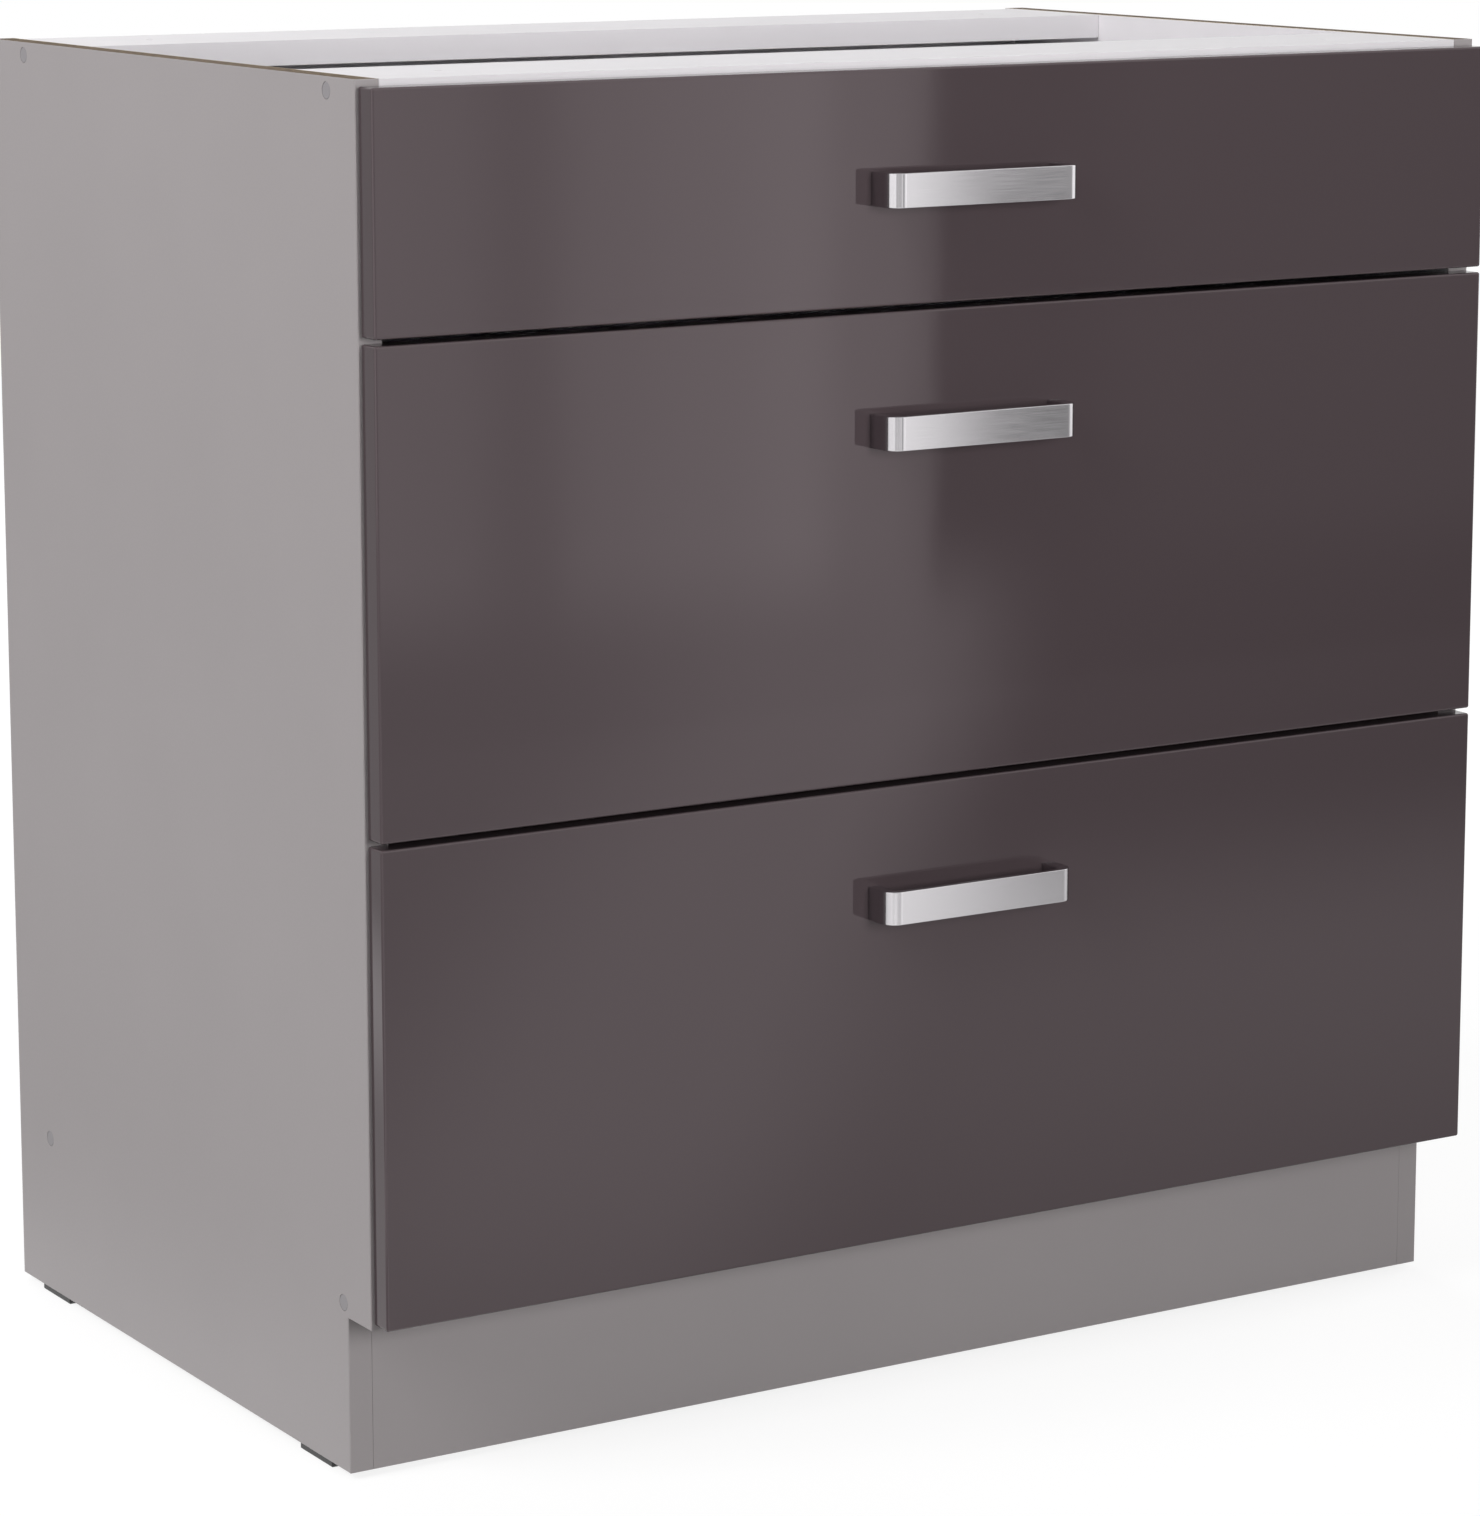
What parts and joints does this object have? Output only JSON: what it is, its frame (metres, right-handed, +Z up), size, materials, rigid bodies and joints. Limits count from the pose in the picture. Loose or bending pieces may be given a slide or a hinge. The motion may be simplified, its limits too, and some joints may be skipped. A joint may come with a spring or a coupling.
{
  "type": "kitchen base cabinet with drawers",
  "caption": "Kitchen base cabinet with gloss drawer fronts and chrome bow handles, on roller runners with steel drawer sides, over a recessed plinth.",
  "frame": {"origin": "bottom centre of the closed cabinet's bounding box, handles included; z = 0 is the floor under the glides", "axes": "+X to the right as seen from the front, +Y to the back, +Z up; the drawers slide out along -Y"},
  "size_m": [0.8, 0.5392, 0.82],
  "materials": {
    "side_panel": "grey melamine-faced chipboard, satin",
    "white_board": "white melamine-faced chipboard, satin",
    "plinth_board": "grey melamine-faced chipboard, satin",
    "gloss_front": "high-gloss foil on fibreboard",
    "chrome_handle": "polished chrome plate",
    "steel_profile": "light powder-coated sheet steel",
    "zinc_steel": "zinc-plated sheet steel",
    "screw_steel": "zinc-plated steel",
    "nylon": "moulded nylon",
    "black_plastic": "moulded polyethylene",
    "grey_plastic": "grey moulded plastic"
  },
  "bodies": {
    "carcass": {"side_panel_left": "side_panel", "side_panel_right": "side_panel", "bottom_panel": "white_board", "front_rail": "white_board", "rear_rail": "white_board", "back_panel": "white_board", "plinth_board": "plinth_board", "plinth_brackets": "zinc_steel", "floor_glides": "black_plastic", "carcass_screws": "screw_steel", "cover_caps": "grey_plastic", "edge_bands": "grey_plastic", "runner_screws": "screw_steel", "top_runner_left": "steel_profile", "top_runner_right": "steel_profile", "middle_runner_left": "steel_profile", "middle_runner_right": "steel_profile", "bottom_runner_left": "steel_profile", "bottom_runner_right": "steel_profile"},
    "top_drawer": {"top_front": "gloss_front", "top_handle": "chrome_handle", "top_handle_screws": "screw_steel", "top_side_left": "steel_profile", "top_side_right": "steel_profile", "top_base": "white_board", "top_back": "white_board", "top_front_brackets": "zinc_steel", "top_box_screws": "screw_steel"},
    "top_runner_roller_left": {"top_runner_roller_left": "nylon"},
    "top_roller_left": {"top_roller_left": "nylon"},
    "top_runner_roller_right": {"top_runner_roller_right": "nylon"},
    "top_roller_right": {"top_roller_right": "nylon"},
    "middle_drawer": {"middle_front": "gloss_front", "middle_handle": "chrome_handle", "middle_handle_screws": "screw_steel", "middle_side_left": "steel_profile", "middle_side_right": "steel_profile", "middle_base": "white_board", "middle_back": "white_board", "middle_front_brackets": "zinc_steel", "middle_box_screws": "screw_steel", "middle_gallery_rails": "steel_profile"},
    "middle_runner_roller_left": {"middle_runner_roller_left": "nylon"},
    "middle_roller_left": {"middle_roller_left": "nylon"},
    "middle_runner_roller_right": {"middle_runner_roller_right": "nylon"},
    "middle_roller_right": {"middle_roller_right": "nylon"},
    "bottom_drawer": {"bottom_front": "gloss_front", "bottom_handle": "chrome_handle", "bottom_handle_screws": "screw_steel", "bottom_side_left": "steel_profile", "bottom_side_right": "steel_profile", "bottom_base": "white_board", "bottom_back": "white_board", "bottom_front_brackets": "zinc_steel", "bottom_box_screws": "screw_steel", "bottom_gallery_rails": "steel_profile"},
    "bottom_runner_roller_left": {"bottom_runner_roller_left": "nylon"},
    "bottom_roller_left": {"bottom_roller_left": "nylon"},
    "bottom_runner_roller_right": {"bottom_runner_roller_right": "nylon"},
    "bottom_roller_right": {"bottom_roller_right": "nylon"}
  },
  "joints": [
    {"name": "top_drawer_slide", "type": "slide", "parent": "carcass", "child": "top_drawer", "axis": [0, -1, 0], "range_m": [0, 0.35]},
    {"name": "top_runner_roller_left_turn", "type": "hinge", "parent": "carcass", "child": "top_runner_roller_left", "pos_m": [-0.3795, -0.2024, 0.7175], "axis": [1, 0, 0], "range_deg": [0, 2390]},
    {"name": "top_roller_left_turn", "type": "hinge", "parent": "top_drawer", "child": "top_roller_left", "pos_m": [-0.3795, 0.2066, 0.7175], "axis": [1, 0, 0], "range_deg": [0, 2390]},
    {"name": "top_runner_roller_right_turn", "type": "hinge", "parent": "carcass", "child": "top_runner_roller_right", "pos_m": [0.3795, -0.2024, 0.7175], "axis": [1, 0, 0], "range_deg": [0, 2390]},
    {"name": "top_roller_right_turn", "type": "hinge", "parent": "top_drawer", "child": "top_roller_right", "pos_m": [0.3795, 0.2066, 0.7175], "axis": [1, 0, 0], "range_deg": [0, 2390]},
    {"name": "middle_drawer_slide", "type": "slide", "parent": "carcass", "child": "middle_drawer", "axis": [0, -1, 0], "range_m": [0, 0.35]},
    {"name": "middle_runner_roller_left_turn", "type": "hinge", "parent": "carcass", "child": "middle_runner_roller_left", "pos_m": [-0.3795, -0.2024, 0.43045], "axis": [1, 0, 0], "range_deg": [0, 2390]},
    {"name": "middle_roller_left_turn", "type": "hinge", "parent": "middle_drawer", "child": "middle_roller_left", "pos_m": [-0.3795, 0.2066, 0.43045], "axis": [1, 0, 0], "range_deg": [0, 2390]},
    {"name": "middle_runner_roller_right_turn", "type": "hinge", "parent": "carcass", "child": "middle_runner_roller_right", "pos_m": [0.3795, -0.2024, 0.43045], "axis": [1, 0, 0], "range_deg": [0, 2390]},
    {"name": "middle_roller_right_turn", "type": "hinge", "parent": "middle_drawer", "child": "middle_roller_right", "pos_m": [0.3795, 0.2066, 0.43045], "axis": [1, 0, 0], "range_deg": [0, 2390]},
    {"name": "bottom_drawer_slide", "type": "slide", "parent": "carcass", "child": "bottom_drawer", "axis": [0, -1, 0], "range_m": [0, 0.35]},
    {"name": "bottom_runner_roller_left_turn", "type": "hinge", "parent": "carcass", "child": "bottom_runner_roller_left", "pos_m": [-0.3795, -0.2024, 0.1434], "axis": [1, 0, 0], "range_deg": [0, 2390]},
    {"name": "bottom_roller_left_turn", "type": "hinge", "parent": "bottom_drawer", "child": "bottom_roller_left", "pos_m": [-0.3795, 0.2066, 0.1434], "axis": [1, 0, 0], "range_deg": [0, 2390]},
    {"name": "bottom_runner_roller_right_turn", "type": "hinge", "parent": "carcass", "child": "bottom_runner_roller_right", "pos_m": [0.3795, -0.2024, 0.1434], "axis": [1, 0, 0], "range_deg": [0, 2390]},
    {"name": "bottom_roller_right_turn", "type": "hinge", "parent": "bottom_drawer", "child": "bottom_roller_right", "pos_m": [0.3795, 0.2066, 0.1434], "axis": [1, 0, 0], "range_deg": [0, 2390]}
  ],
  "couplings": [
    {"joint": "top_runner_roller_left_turn", "follows": "top_drawer_slide", "rad_per_m": 119.05},
    {"joint": "top_roller_left_turn", "follows": "top_drawer_slide", "rad_per_m": 119.05},
    {"joint": "top_runner_roller_right_turn", "follows": "top_drawer_slide", "rad_per_m": 119.05},
    {"joint": "top_roller_right_turn", "follows": "top_drawer_slide", "rad_per_m": 119.05},
    {"joint": "middle_runner_roller_left_turn", "follows": "middle_drawer_slide", "rad_per_m": 119.05},
    {"joint": "middle_roller_left_turn", "follows": "middle_drawer_slide", "rad_per_m": 119.05},
    {"joint": "middle_runner_roller_right_turn", "follows": "middle_drawer_slide", "rad_per_m": 119.05},
    {"joint": "middle_roller_right_turn", "follows": "middle_drawer_slide", "rad_per_m": 119.05},
    {"joint": "bottom_runner_roller_left_turn", "follows": "bottom_drawer_slide", "rad_per_m": 119.05},
    {"joint": "bottom_roller_left_turn", "follows": "bottom_drawer_slide", "rad_per_m": 119.05},
    {"joint": "bottom_runner_roller_right_turn", "follows": "bottom_drawer_slide", "rad_per_m": 119.05},
    {"joint": "bottom_roller_right_turn", "follows": "bottom_drawer_slide", "rad_per_m": 119.05}
  ]
}
